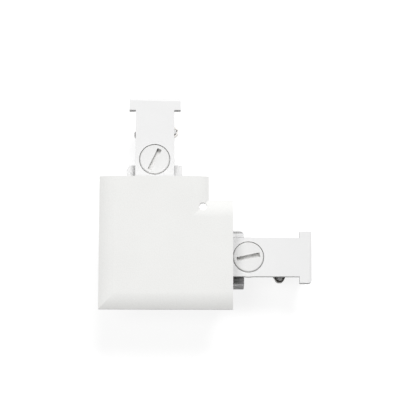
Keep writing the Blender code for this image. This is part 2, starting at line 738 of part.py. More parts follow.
def make_bars(material):
    """Four strips on edge. Each insert's right has the upper contact standing out, its left the lower."""
    for name, side, level, x_reach, y_reach in (
        ("outer_upper", -1, UPPER_LEVEL, UPPER_REACH, SET_BACK_REACH),
        ("outer_lower", -1, LOWER_LEVEL, SET_BACK_REACH, LOWER_REACH),
        ("inner_upper", 1, UPPER_LEVEL, SET_BACK_REACH, UPPER_REACH),
        ("inner_lower", 1, LOWER_LEVEL, LOWER_REACH, SET_BACK_REACH),
    ):
        outline = ribbon(bar_path(side, x_reach, y_reach), BAR_THICK)
        prism(f"bar_{name}", outline, level - BAR_HEIGHT / 2, level + BAR_HEIGHT / 2, material=material)


def earth_path(seat):
    """The earth strip's middle line as (along, z), from the corner out to its folded hook."""
    middle = EARTH_UNDER + EARTH_THICK / 2
    bow_at = EARTH_BOW_AT + seat
    hook_at = EARTH_HOOK_AT + seat
    flat = [
        (along, middle - bump(along, bow_at, EARTH_BOW_HALF, EARTH_BOW_DEEP))
        for along in leg_samples(bow_at, EARTH_BOW_HALF, -EARTH_WIDTH / 2, hook_at)
    ]
    return flat + [(hook_at, EARTH_UNDER + EARTH_HOOK_TALL)]


def make_earth_strip(legs, seats, material):
    half = EARTH_WIDTH / 2
    strip = prism("earth_strip", ribbon(earth_path(seats["x"]), EARTH_THICK), -half, half, "Y", material)
    other = ribbon(earth_path(seats["y"]), EARTH_THICK)
    return join(strip, prism("earth_leg_y", other, -half, half, "Y", parent=legs["y"]))


def clamp_places():
    """Each clamp's centre in plan, underside, wire axis and the sides on which the nest has a cheek."""
    beside = TUNNEL_OUT + CLAMP_SIDE / 2
    within = WEB_HALF - CLAMP_SIDE / 2
    bend_room = BAR_BEND - BAR_THICK / 2 - GAP
    in_bend = LANE + BAR_BEND - bend_room / math.sqrt(2.0) + CLAMP_SIDE / 2
    upper = UPPER_CHANNEL + GAP
    lower = NEST_TOP + GAP
    return {
        "outer_upper": ((0.0, -beside), upper, "y", ((-1, 0), (1, 0))),
        "outer_lower": ((CLAMP_ALONG, -beside), lower, "y", ((-1, 0), (1, 0))),
        "inner_upper": ((in_bend, in_bend), upper, "x", ((0, 1),)),
        "inner_lower": ((within, CLAMP_ALONG_INNER), lower, "x", ((0, -1), (0, 1))),
        "earth": ((0.0, 0.0), CARRIER_UNDER, "x", ()),
    }


def span(middle, half):
    return middle - half, middle + half


def make_clamp(name, centre, under, wire_axis, brass, steel):
    """A brass block with a wire hole, and its screw from the room side."""
    half = CLAMP_SIDE / 2
    top = under + CLAMP_TALL
    x, y = centre
    clamp = block(f"clamp_{name}", span(x, half), span(y, half), (under, top), brass)
    shank_end = under + WIRE_LIFT + CLAMP_SCREW_LIFT
    bore = cylinder(
        f"clamp_bore_{name}", CLAMP_SCREW_RADIUS + GAP, (shank_end - GAP, top + OVERRUN), centre, SCREW_STEPS
    )
    wire = cylinder(f"wire_hole_{name}", WIRE_RADIUS, span(0.0, half + OVERRUN), steps=SCREW_STEPS)
    quarter = math.pi / 2
    wire.rotation_euler = (quarter, 0.0, 0.0) if wire_axis == "y" else (0.0, quarter, 0.0)
    wire.location = (x * MM, y * MM, (under + WIRE_LIFT) * MM)
    cut(clamp, bore, wire)
    seat = top + GAP
    profile = [
        (0.0, seat + CLAMP_HEAD_TALL),
        (CLAMP_HEAD_RADIUS, seat + CLAMP_HEAD_TALL),
        (CLAMP_HEAD_RADIUS, seat),
        (CLAMP_SCREW_RADIUS, seat),
        (CLAMP_SCREW_RADIUS, shank_end),
        (0.0, shank_end),
    ]
    screw = turned(f"clamp_screw_{name}", profile, SCREW_STEPS, steel, None, centre)
    long = span(0.0, CLAMP_HEAD_RADIUS + OVERRUN)
    deep = (seat + CLAMP_HEAD_TALL - DRIVER_SLOT_DEEP, seat + CLAMP_HEAD_TALL + OVERRUN)
    cut(screw, block(f"driver_slot_{name}", long, span(0.0, DRIVER_SLOT_WIDE / 2), deep, parent=screw))


def make_terminal_block(material):
    """The insulating nest at the corner: an L plate on feet, with cheeks and the upper clamps' pedestals."""
    outline = leg_outline(NEST_HALF, NEST_REACH)
    nest = prism("terminal_block", outline, CARRIER_UNDER, NEST_TOP, material=material)
    half = CLAMP_SIDE / 2
    low = NEST_FOOT_INSET - NEST_HALF
    far = NEST_REACH - NEST_FOOT_INSET - NEST_FOOT
    corner = NEST_HALF - NEST_FOOT_INSET - NEST_FOOT
    for label, x, y in (("outer", low, low), ("x", far, low), ("y", low, far), ("inner", corner, corner)):
        tall = (FLOOR + GAP, NEST_TOP - SINK)
        join(nest, block(f"foot_{label}", (x, x + NEST_FOOT), (y, y + NEST_FOOT), tall))
    for name, (centre, under, _, cheeks) in clamp_places().items():
        if under > UPPER_CHANNEL:
            tall = (NEST_TOP - SINK, under - GAP)
            join(nest, block(f"pedestal_{name}", span(centre[0], half), span(centre[1], half), tall))
        for x, y in cheeks:
            away = half + GAP + NEST_CHEEK / 2
            across = [half - GAP, NEST_CHEEK / 2]
            x_half, y_half = across[::-1] if x else across
            cheek_x = span(centre[0] + x * away, x_half)
            cheek_y = span(centre[1] + y * away, y_half)
            tall = (NEST_TOP - SINK, under + NEST_CHEEK_TALL)
            join(nest, block(f"cheek_{name}_{x}_{y}", cheek_x, cheek_y, tall))
    window = span(0.0, half + GAP)
    return cut(nest, block("earth_window", window, window, (CARRIER_UNDER - OVERRUN, NEST_TOP + OVERRUN)))


def main():
    clear_scene()
    cover_white = finish("cover_white", (0.86, 0.86, 0.84), 0.55)
    insert_white = finish("insert_white", (0.88, 0.88, 0.88), 0.42)
    cam_white = finish("cam_white", (0.87, 0.87, 0.87), 0.4)
    nest_grey = finish("nest_grey", (0.55, 0.56, 0.57), 0.5)
    tinned_copper = finish("tinned_copper", (0.72, 0.7, 0.67), 0.28, 1.0)
    brass = finish("brass", (0.78, 0.6, 0.28), 0.3, 1.0)
    zinc_steel = finish("zinc_steel", (0.66, 0.67, 0.69), 0.32, 1.0)

    legs = {"x": frame_empty("leg_x"), "y": frame_empty("leg_y", turn=90.0)}
    seats = {"x": 0.0, "y": Y_INSERT_SEAT}
    rests = {"x": CAM_REST_X, "y": CAM_REST_Y}

    make_cover(legs, seats, cover_white)
    make_housing(legs, seats, cover_white)
    for name, leg in legs.items():
        insert = frame_empty(f"insert_{name}", along=seats[name], parent=leg)
        make_face_shell(name, insert, insert_white)
        make_carrier(name, insert, insert_white)
        make_cam(name, insert, rests[name], cam_white)
        make_washer(name, insert, zinc_steel)
        for label, along in INSERT_SCREWS.items():
            make_insert_screw(name, label, along, insert, zinc_steel)
    make_bars(tinned_copper)
    make_earth_strip(legs, seats, tinned_copper)
    make_terminal_block(nest_grey)
    for name, (centre, under, wire_axis, _) in clamp_places().items():
        make_clamp(name, centre, under, wire_axis, brass, zinc_steel)


main()
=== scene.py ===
"""Studio picture of the corner connector for a recessed lighting track, dressed around its CAD frame.

The frame gives every solid at its real size, in metres. This script gives each of them its finish and its
soft moulded edges, adds the carriers' ribs behind the contact springs, and sets the pale studio and the
camera of the photograph.
"""

import logging
import math
from dataclasses import dataclass
from enum import Enum

import bmesh
import bpy
from mathutils import Matrix, Vector

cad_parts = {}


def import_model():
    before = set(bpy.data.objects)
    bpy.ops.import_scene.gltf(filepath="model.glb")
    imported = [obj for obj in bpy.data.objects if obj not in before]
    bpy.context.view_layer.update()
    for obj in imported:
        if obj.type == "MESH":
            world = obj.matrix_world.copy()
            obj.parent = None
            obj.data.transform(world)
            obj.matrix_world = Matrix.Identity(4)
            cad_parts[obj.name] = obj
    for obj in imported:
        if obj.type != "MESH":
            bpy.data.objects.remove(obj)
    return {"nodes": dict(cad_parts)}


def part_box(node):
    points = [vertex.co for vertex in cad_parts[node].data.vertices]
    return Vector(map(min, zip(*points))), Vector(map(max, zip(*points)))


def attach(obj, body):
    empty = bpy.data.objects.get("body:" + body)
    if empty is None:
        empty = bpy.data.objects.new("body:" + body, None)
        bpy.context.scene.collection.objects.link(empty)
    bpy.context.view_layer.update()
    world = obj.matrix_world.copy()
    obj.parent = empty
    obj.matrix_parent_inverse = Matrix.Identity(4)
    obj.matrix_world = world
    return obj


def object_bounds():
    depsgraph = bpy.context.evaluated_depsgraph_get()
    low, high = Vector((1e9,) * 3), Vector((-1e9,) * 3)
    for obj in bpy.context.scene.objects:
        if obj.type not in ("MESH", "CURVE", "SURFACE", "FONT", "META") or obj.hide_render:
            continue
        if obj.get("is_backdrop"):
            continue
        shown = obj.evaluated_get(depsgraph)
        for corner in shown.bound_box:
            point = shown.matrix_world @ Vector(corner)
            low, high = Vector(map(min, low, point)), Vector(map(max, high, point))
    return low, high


LOG = logging.getLogger("track_corner")
MM = 0.001

Colour = tuple[float, float, float]
Direction = tuple[float, float, float]
Point = tuple[float, float]
Span = tuple[float, float]

BLACK: Colour = (0.0, 0.0, 0.0)
WHITE: Colour = (1.0, 1.0, 1.0)
WHOLE: Span = (0.0, 1.0)
# The smallest turn between two faces that gets rounded on most pieces, in degrees.
CREASE = 32.0


class Socket(Enum):
    """The kinds of socket that a node group offers."""

    VALUE = "NodeSocketFloat"
    COLOUR = "NodeSocketColor"


class Marks(Enum):
    """How a metal's rolling or turning marks are stretched along the world's axes."""

    DRAWN = (0.04, 1.0, 1.0)
    STANDING = (1.0, 1.0, 0.05)


class Leg(Enum):
    """The leg of the corner that an insert leaves, as the CAD nodes name it."""

    X = "x"
    Y = "y"


class Lane(Enum):
    """The lane and the level of a conductor bar, as the CAD nodes name it."""

    OUTER_UPPER = "outer_upper"
    OUTER_LOWER = "outer_lower"
    INNER_UPPER = "inner_upper"
    INNER_LOWER = "inner_lower"

    @property
    def outer(self) -> bool:
        """Whether the bar runs round the outside of the corner."""
        return self in (Lane.OUTER_UPPER, Lane.OUTER_LOWER)


def opaque(colour: Colour) -> tuple[float, float, float, float]:
    """A colour with its alpha, as a socket takes it."""
    return (*colour, 1.0)


class Graph:
    """Adds nodes to one tree and joins their sockets."""

    # The Mix node's colour sockets go by number, because its other kinds of socket have the same names.
    MIX_FACTOR, MIX_FIRST, MIX_SECOND, MIX_RESULT = 0, 6, 7, 2

    def __init__(self, tree: bpy.types.NodeTree) -> None:
        """Keeps the tree.

        Args:
            tree: the material's or the group's node tree.
        """
        self.tree = tree

    def add(self, kind: str, **values: object) -> bpy.types.Node:
        """Adds a node.

        Args:
            kind: the node's type name.
            values: properties of the node, set by name.

        Returns:
            The new node.
        """
        node = self.tree.nodes.new(kind)
        for name, value in values.items():
            setattr(node, name, value)
        return node

    def feed(self, node: bpy.types.Node, socket: str | int, source: object) -> None:
        """Gives an input socket a constant, or joins it to another node's output.

        Args:
            node: the node with the input.
            socket: the input's name or place.
            source: a number, a colour, a vector or an output socket.
        """
        target = node.inputs[socket]
        if isinstance(source, bpy.types.NodeSocket):
            self.tree.links.new(source, target)
        else:
            target.default_value = source

    def sum(self, operation: str, first: object, second: object) -> bpy.types.NodeSocket:
        """One step of arithmetic.

        Args:
            operation: the Math node's operation.
            first: its first value or socket.
            second: its second value or socket.

        Returns:
            The result's socket.
        """
        node = self.add("ShaderNodeMath", operation=operation)
        self.feed(node, 0, first)
        self.feed(node, 1, second)
        return node.outputs[0]

    def remap(self, value: object, old: Span, new: Span) -> bpy.types.NodeSocket:
        """Stretches a range of values onto another one, and clamps it.

        Args:
            value: the socket to read.
            old: the range that it has.
            new: the range that it gets.

        Returns:
            The result's socket.
        """
        node = self.add("ShaderNodeMapRange")
        self.feed(node, "Value", value)
        for name, number in zip(("From Min", "From Max", "To Min", "To Max"), old + new):
            self.feed(node, name, number)
        return node.outputs[0]

    def mix(self, factor: object, first: object, second: object) -> bpy.types.NodeSocket:
        """Mixes two colours.

        Args:
            factor: how much of the second.
            first: a colour or a socket.
            second: a colour or a socket.

        Returns:
            The colour's socket.
        """
        node = self.add("ShaderNodeMix", data_type="RGBA")
        self.feed(node, self.MIX_FACTOR, factor)
        self.feed(node, self.MIX_FIRST, first)
        self.feed(node, self.MIX_SECOND, second)
        return node.outputs[self.MIX_RESULT]

    def noise(self, place: object, scale: object, detail: float) -> bpy.types.NodeSocket:
        """A cloud of noise.

        Args:
            place: the socket that says where a point is.
            scale: how many clouds there are in a metre.
            detail: how many finer clouds lie on each.

        Returns:
            The socket of its height, from 0 to 1.
        """
        node = self.add("ShaderNodeTexNoise")
        self.feed(node, "Vector", place)
        self.feed(node, "Scale", scale)
        self.feed(node, "Detail", detail)
        return node.outputs["Fac"]

    def place(self) -> bpy.types.NodeSocket:
        """Where a point is on the object itself, in metres."""
        return self.add("ShaderNodeTexCoord").outputs["Object"]

    def emboss(self, shader: bpy.types.Node, height: object, depth: float) -> None:
        """Gives a shader a relief.

        Args:
            shader: the shader.
            height: the socket of the relief's height.
            depth: how deep a height of one is, in metres.
        """
        relief = self.add("ShaderNodeBump")
        self.feed(relief, "Strength", 1.0)
        self.feed(relief, "Distance", depth)
        self.feed(relief, "Height", height)
        self.feed(shader, "Normal", relief.outputs["Normal"])


def start_material(name: str) -> tuple[bpy.types.Material, Graph, bpy.types.Node]:
    """Starts a material.

    Args:
        name: the material's name.

    Returns:
        The material, its graph and its shader.
    """
    material = bpy.data.materials.new(name)
    material.use_nodes = True
    return material, Graph(material.node_tree), material.node_tree.nodes["Principled BSDF"]


def effect(name: str, inputs: dict[str, tuple[Socket, object]], outputs: dict[str, Socket]) -> Graph:
    """Starts a node group with named sockets.

    Args:
        name: the group's name.
        inputs: each input's kind and its value when nothing feeds it.
        outputs: each output's kind.

    Returns:
        The group's graph, with its input and output nodes already placed.
    """
    tree = bpy.data.node_groups.new(name, "ShaderNodeTree")
    for label, (kind, value) in inputs.items():
        tree.interface.new_socket(label, in_out="INPUT", socket_type=kind.value).default_value = value
    for label, kind in outputs.items():
        tree.interface.new_socket(label, in_out="OUTPUT", socket_type=kind.value)
    graph = Graph(tree)
    graph.add("NodeGroupInput", name="in")
    graph.add("NodeGroupOutput", name="out")
    return graph


class Effects:
    """The shader effects that several finishes share, each built once as a node group."""

    PIT_DETAIL = 2.0
    TEETH_TO_A_PIT = 2.3
    DRIFT_DETAIL = 3.0
    DRIFT_SPAN: Span = (0.3, 0.7)
    EDGE_SAMPLES = 4
    CORNER_SAMPLES = 4
    CORNER_SPAN: Span = (0.35, 0.9)
    # the cloud that breaks up the painted shade and dust of the inner corners
    CORNER_CLOUD_PITCH = 900.0
    CORNER_CLOUD_DETAIL = 2.0
    CORNER_CLOUD_SPAN: Span = (0.3, 0.65)
    CORNER_CLOUD_BREAKS: Span = (0.5, 1.0)
    ROLLING_DETAIL = 4.0

    def __init__(self) -> None:
        """Builds every group."""
        self.grain = self._grain()
        self.drift = self._drift()
        self.edge = self._edge()
        self.crevice = self._crevice()
        self.rolling = self._rolling()

    def place(self, graph: Graph, tree: bpy.types.NodeTree, **values: object) -> bpy.types.NodeSocket:
        """Puts a group into a material.

        Args:
            graph: the material's graph.
            tree: the group.
            values: the group's inputs by name, with _ for a space.

        Returns:
            The socket of the group's one output.
        """
        node = graph.add("ShaderNodeGroup", node_tree=tree)
        for name, value in values.items():
            graph.feed(node, name.replace("_", " "), value)
        return node.outputs[0]

    def _grain(self) -> bpy.types.NodeTree:
        """The spark-eroded grain of a moulded face: soft pits over a finer tooth.

        Returns:
            The group.
        """
        graph = effect(
            "moulded_grain",
            {"Pitch": (Socket.VALUE, 1400.0), "Tooth": (Socket.VALUE, 0.4)},
            {"Height": Socket.VALUE},
        )
        given = graph.tree.nodes["in"].outputs
        place = graph.place()
        pits = graph.noise(place, given["Pitch"], self.PIT_DETAIL)
        tooth = graph.add("ShaderNodeTexVoronoi", feature="SMOOTH_F1")
        graph.feed(tooth, "Vector", place)
        graph.feed(tooth, "Scale", graph.sum("MULTIPLY", given["Pitch"], self.TEETH_TO_A_PIT))
        fine = graph.sum("MULTIPLY", tooth.outputs["Distance"], given["Tooth"])
        graph.feed(graph.tree.nodes["out"], "Height", graph.sum("ADD", pits, fine))
        return graph.tree

    def _drift(self) -> bpy.types.NodeTree:
        """The slow unevenness of a colour over a face.

        Returns:
            The group.
        """
        graph = effect(
            "tone_drift",
            {
                "Colour": (Socket.COLOUR, (0.8, 0.8, 0.8, 1.0)),
                "Pitch": (Socket.VALUE, 60.0),
                "Amount": (Socket.VALUE, 0.03),
            },
            {"Colour": Socket.COLOUR},
        )
        given = graph.tree.nodes["in"].outputs
        cloud = graph.noise(graph.place(), given["Pitch"], self.DRIFT_DETAIL)
        darker = graph.sum("MULTIPLY", graph.remap(cloud, self.DRIFT_SPAN, WHOLE), given["Amount"])
        toned = graph.mix(darker, given["Colour"], opaque(BLACK))
        graph.feed(graph.tree.nodes["out"], "Colour", toned)
        return graph.tree

    def _edge(self) -> bpy.types.NodeTree:
        """Where an edge is: the turn between the face's normal and the normal rounded over a radius.

        Returns:
            The group.
        """
        graph = effect(
            "rubbed_edge",
            {"Radius": (Socket.VALUE, 0.0004), "Gain": (Socket.VALUE, 4.0)},
            {"Mask": Socket.VALUE},
        )
        given = graph.tree.nodes["in"].outputs
        rounded = graph.add("ShaderNodeBevel", samples=self.EDGE_SAMPLES)
        graph.feed(rounded, "Radius", given["Radius"])
        turn = graph.add("ShaderNodeVectorMath", operation="DOT_PRODUCT")
        graph.feed(turn, 0, rounded.outputs["Normal"])
        graph.feed(turn, 1, graph.add("ShaderNodeNewGeometry").outputs["Normal"])
        bent = graph.sum("SUBTRACT", 1.0, turn.outputs["Value"])
        mask = graph.remap(graph.sum("MULTIPLY", bent, given["Gain"]), WHOLE, WHOLE)
        graph.feed(graph.tree.nodes["out"], "Mask", mask)
        return graph.tree

    def _crevice(self) -> bpy.types.NodeTree:
        """Painted shade with dust on the plastics, tarnish on the metals: the inner corners within a reach,
        found by ambient occlusion, broken up by a cloud.

        Returns:
            The group.
        """
        graph = effect(
            "corner_shade_dust_and_tarnish",
            {"Reach": (Socket.VALUE, 0.0015), "Amount": (Socket.VALUE, 0.2)},
            {"Mask": Socket.VALUE},
        )
        given = graph.tree.nodes["in"].outputs
        # ambient occlusion finds the inner corners, which the finishes darken in colour: painted shade
        hollow = graph.add("ShaderNodeAmbientOcclusion", samples=self.CORNER_SAMPLES)
        graph.feed(hollow, "Distance", given["Reach"])
        cloud = graph.noise(graph.place(), self.CORNER_CLOUD_PITCH, self.CORNER_CLOUD_DETAIL)
        deep = graph.remap(hollow.outputs["AO"], self.CORNER_SPAN, (1.0, 0.0))
        broken = graph.remap(cloud, self.CORNER_CLOUD_SPAN, self.CORNER_CLOUD_BREAKS)
        mask = graph.sum("MULTIPLY", graph.sum("MULTIPLY", deep, broken), given["Amount"])
        graph.feed(graph.tree.nodes["out"], "Mask", mask)
        return graph.tree

    def _rolling(self) -> bpy.types.NodeTree:
        """The long marks of rolled strip or turned rod, stretched along the axes by the shares given.

        Returns:
            The group.
        """
        graph = effect(
            "rolling_marks",
            {
                "Along X": (Socket.VALUE, 1.0),
                "Along Y": (Socket.VALUE, 1.0),
                "Along Z": (Socket.VALUE, 1.0),
                "Pitch": (Socket.VALUE, 5000.0),
            },
            {"Height": Socket.VALUE},
        )
        given = graph.tree.nodes["in"].outputs
        shares = graph.add("ShaderNodeCombineXYZ")
        for axis in "XYZ":
            graph.feed(shares, axis, given[f"Along {axis}"])
        stretched = graph.add("ShaderNodeVectorMath", operation="MULTIPLY")
        graph.feed(stretched, 0, graph.place())
        graph.feed(stretched, 1, shares.outputs["Vector"])
        marks = graph.noise(stretched.outputs["Vector"], given["Pitch"], self.ROLLING_DETAIL)
        graph.feed(graph.tree.nodes["out"], "Height", marks)
        return graph.tree


@dataclass(frozen=True)
class MouldedPlastic:
    """A moulded plastic finish.

    Args:
        name: the material's name.
        colour: its linear colour.
        roughness: its middle roughness.
        grain_pitch: how many grains there are in a metre.
        grain_height: how deep the grain is, in metres.
        grain_tone: how much darker the floor of the grain is.
        edge_lift: how much paler the rubbed edges are.
        edge_polish: how much smoother they are.
        edge_radius: how wide they are, in metres.
        edge_gain: how soon they show.
        shade_and_dust_reach: how far the painted shade of an inner corner, with its dust, spreads, in
            metres.
        shade_and_dust: how dark the painted shade and dust are there.
        shade_and_dust_colour: their linear grey.
        tooth: how much of the grain is its finer tooth.
        drift_pitch: how many slow clouds of tone there are in a metre.
        drift: how much darker they are.
        specular: how strongly it shines.
    """

    name: str
    colour: Colour
    roughness: float
    grain_pitch: float
    grain_height: float
    grain_tone: float
    edge_lift: float
    edge_polish: float = 0.1
    edge_radius: float = 0.35 * MM
    edge_gain: float = 3.0
    # painted shade with some dust in the inner corners: its reach, its strength and its grey
    shade_and_dust_reach: float = 1.2 * MM
    shade_and_dust: float = 0.22
    shade_and_dust_colour: Colour = (0.42, 0.41, 0.39)
    tooth: float = 0.35
    drift_pitch: float = 45.0
    drift: float = 0.025
    specular: float = 0.3

    PIT_SPAN = (0.35, 0.95)
    GRAIN_SPAN = (0.3, 1.0)
    SMOOTHER = 0.06
    ROUGHER = 0.08

    def build(self, effects: Effects) -> bpy.types.Material:
        """Builds the material.

        Args:
            effects: the shared node groups.

        Returns:
            The material.
        """
        material, graph, shader = start_material(self.name)
        base = opaque(self.colour)
        grain = effects.place(graph, effects.grain, Pitch=self.grain_pitch, Tooth=self.tooth)
        drift = effects.place(graph, effects.drift, Colour=base, Pitch=self.drift_pitch, Amount=self.drift)
        edge = effects.place(graph, effects.edge, Radius=self.edge_radius, Gain=self.edge_gain)
        # the inner corners are darkened towards the grey: painted shade, with some dust
        shade_and_dust = effects.place(graph, effects.crevice, Reach=self.shade_and_dust_reach, Amount=self.shade_and_dust)
        pitted = graph.remap(grain, self.PIT_SPAN, (self.grain_tone, 0.0))
        colour = graph.mix(pitted, drift, opaque(BLACK))
        colour = graph.mix(graph.sum("MULTIPLY", edge, self.edge_lift), colour, opaque(WHITE))
        colour = graph.mix(shade_and_dust, colour, opaque(self.shade_and_dust_colour))
        graph.feed(shader, "Base Color", colour)
        roughness = (self.roughness - self.SMOOTHER, self.roughness + self.ROUGHER)
        spread = graph.remap(grain, self.GRAIN_SPAN, roughness)
        polished = graph.sum("MULTIPLY", edge, self.edge_polish)
        graph.feed(shader, "Roughness", graph.sum("SUBTRACT", spread, polished))
        graph.emboss(shader, grain, self.grain_height)
        graph.feed(shader, "Specular IOR Level", self.specular)
        return material


@dataclass(frozen=True)
class BareMetal:
    """A bare or plated metal finish.

    Args:
        name: the material's name.
        colour: its linear colour.
        roughness: its middle roughness.
        marks: how its rolling or turning marks are stretched.
        pitch: how many marks there are in a metre.
        depth: how deep the marks are, in metres.
        tarnish: the colour of its dull inner corners.
        tarnish_reach: how far they spread, in metres.
        tarnish_amount: how dull they are at most.
        tarnish_rough: how much rougher they are.
        edge_radius: how wide its rubbed edges are, in metres.
        edge_gain: how soon they show.
        edge_lift: how much paler they are.
        edge_colour: the colour that they take on.
        drift_pitch: how many slow clouds of tone there are in a metre.
        drift: how much darker they are.
    """

    name: str
    colour: Colour
    roughness: float
    marks: Marks
    pitch: float
    depth: float
    tarnish: Colour
    tarnish_reach: float = 1.0 * MM
    tarnish_amount: float = 0.5
    tarnish_rough: float = 0.3
    edge_radius: float = 0.2 * MM
    edge_gain: float = 3.0
    edge_lift: float = 0.35
    edge_colour: Colour = (1.0, 0.98, 0.95)
    drift_pitch: float = 220.0
    drift: float = 0.12

    MARK_SPAN = (0.3, 0.7)
    SMOOTHER = 0.08
    ROUGHER = 0.12

    def build(self, effects: Effects) -> bpy.types.Material:
        """Builds the material.

        Args:
            effects: the shared node groups.

        Returns:
            The material.
        """
        material, graph, shader = start_material(self.name)
        base = opaque(self.colour)
        along = dict(zip(("Along_X", "Along_Y", "Along_Z"), self.marks.value))
        marks = effects.place(graph, effects.rolling, Pitch=self.pitch, **along)
        drift = effects.place(graph, effects.drift, Colour=base, Pitch=self.drift_pitch, Amount=self.drift)
        edge = effects.place(graph, effects.edge, Radius=self.edge_radius, Gain=self.edge_gain)
        dull = effects.place(graph, effects.crevice, Reach=self.tarnish_reach, Amount=self.tarnish_amount)
        colour = graph.mix(dull, drift, opaque(self.tarnish))
        colour = graph.mix(graph.sum("MULTIPLY", edge, self.edge_lift), colour, opaque(self.edge_colour))
        graph.feed(shader, "Base Color", colour)
        graph.feed(shader, "Metallic", 1.0)
        roughness = (self.roughness - self.SMOOTHER, self.roughness + self.ROUGHER)
        spread = graph.remap(marks, self.MARK_SPAN, roughness)
        rougher = graph.sum("MULTIPLY", dull, self.tarnish_rough)
        graph.feed(shader, "Roughness", graph.sum("ADD", spread, rougher))
        graph.emboss(shader, marks, self.depth)
        return material


Finish = MouldedPlastic | BareMetal


@dataclass(frozen=True)
class Finishes:
    """Every finish of the connector, by the piece that wears it."""

    cover: MouldedPlastic = MouldedPlastic(
        "cover_plastic",
        (0.86, 0.86, 0.845),
        roughness=0.5,
        grain_pitch=1500.0,
        grain_height=0.035 * MM,
        grain_tone=0.05,
        edge_lift=0.3,
    )
    insert: MouldedPlastic = MouldedPlastic(
        "insert_plastic",
        (0.85, 0.85, 0.85),
        roughness=0.4,
        grain_pitch=2400.0,
        grain_height=0.012 * MM,
        grain_tone=0.02,
        edge_lift=0.3,
    )
    carrier: MouldedPlastic = MouldedPlastic(
        "carrier_plastic",
        (0.83, 0.83, 0.83),
        roughness=0.5,
        grain_pitch=2400.0,
        grain_height=0.012 * MM,
        grain_tone=0.02,
        edge_lift=0.3,
        # painted shade in the grooves and corners of the neck
        shade_and_dust=0.12,
    )
    cam: MouldedPlastic = MouldedPlastic(
        "cam_plastic",
        (0.82, 0.82, 0.815),
        roughness=0.38,
        grain_pitch=2600.0,
        grain_height=0.01 * MM,
        grain_tone=0.02,
        edge_lift=0.5,
        # a wide, strong painted shade darkens the floor of the coin slot
        shade_and_dust_reach=2.5 * MM,
        shade_and_dust=0.6,
    )
    nest: MouldedPlastic = MouldedPlastic(
        "nest_plastic",
        (0.5, 0.51, 0.52),
        roughness=0.5,
        grain_pitch=1800.0,
        grain_height=0.02 * MM,
        grain_tone=0.06,
        edge_lift=0.2,
    )
    strip: BareMetal = BareMetal(
        "tinned_strip",
        (0.64, 0.62, 0.6),
        roughness=0.3,
        marks=Marks.STANDING,
        pitch=3500.0,
        depth=0.006 * MM,
        tarnish=(0.4, 0.38, 0.36),
    )
    # the tinned strip again, painted near black: painted shade on the outer bars
    painted_shade_strip: BareMetal = BareMetal(
        "painted_shade_strip",
        (0.06, 0.056, 0.052),
        roughness=0.34,
        marks=Marks.STANDING,
        pitch=3500.0,
        depth=0.006 * MM,
        tarnish=(0.03, 0.028, 0.026),
    )
    brass: BareMetal = BareMetal(
        "clamp_brass",
        (0.78, 0.58, 0.26),
        roughness=0.28,
        marks=Marks.DRAWN,
        pitch=4200.0,
        depth=0.008 * MM,
        tarnish=(0.34, 0.22, 0.1),
    )
    zinc: BareMetal = BareMetal(
        "zinc_steel",
        (0.66, 0.67, 0.69),
        roughness=0.32,
        marks=Marks.STANDING,
        pitch=4200.0,
        depth=0.008 * MM,
        tarnish=(0.3, 0.3, 0.3),
    )


@dataclass
class Dresser:
    """Puts finishes and soft edges on the pieces.

    Args:
        nodes: the CAD nodes by name.
        effects: the shared node groups.
        weld: how close two points have to be to count as one, in metres.
        segments: how many faces round an edge.
    """

    nodes: dict[str, bpy.types.Object]
    effects: Effects
    weld: float = 0.002 * MM
    segments: int = 2

    def __post_init__(self) -> None:
        """Starts with no material built."""
        self._built: dict[str, bpy.types.Material] = {}

    def dress(self, name: str, finish: Finish, edge: float, crease: float = CREASE) -> None:
        """Gives a CAD node its finish and rounds its edges.

        Args:
            name: the CAD node.
            finish: what it is made of.
            edge: the width of its rounded edges, in metres.
            crease: the smallest turn between two faces that gets rounded, in degrees.
        """
        self.coat(self.nodes[name], finish, edge, crease)

    def coat(self, piece: bpy.types.Object, finish: Finish, edge: float, crease: float = CREASE) -> None:
        """Gives any piece its finish and rounds its edges.

        Args:
            piece: the piece.
            finish: what it is made of.
            edge: the width of its rounded edges, in metres.
            crease: the smallest turn between two faces that gets rounded, in degrees.
        """
        if finish.name not in self._built:
            self._built[finish.name] = finish.build(self.effects)
        piece.data.materials.clear()
        piece.data.materials.append(self._built[finish.name])
        weld = piece.modifiers.new("weld", "WELD")
        weld.merge_threshold = self.weld
        soft = piece.modifiers.new("soft_edges", "BEVEL")
        soft.width = edge
        soft.segments = self.segments
        soft.limit_method = "ANGLE"
        soft.angle_limit = math.radians(crease)
        soft.miter_outer = "MITER_ARC"
        soft.use_clamp_overlap = True
        even = piece.modifiers.new("even_normals", "WEIGHTED_NORMAL")
        even.keep_sharp = False
        LOG.info("%s wears %s", piece.name, finish.name)


@dataclass
class Body:
    """The cover and the housing behind it.

    Args:
        cover_edge: the width of the cover's rounded edges, in metres.
        cover_crease: the smallest turn that gets rounded on it, in degrees, which takes in the mitre of its
            two bevels and leaves out the steps of their curve.
        housing_edge: the width of the housing's rounded edges, in metres.
    """

    cover_edge: float = 0.25 * MM
    cover_crease: float = 6.0
    housing_edge: float = 0.2 * MM

    def build(self, dresser: Dresser, finishes: Finishes) -> None:
        """Dresses both mouldings."""
        dresser.dress("cover_plate", finishes.cover, self.cover_edge, self.cover_crease)
        dresser.dress("corner_housing", finishes.cover, self.housing_edge)


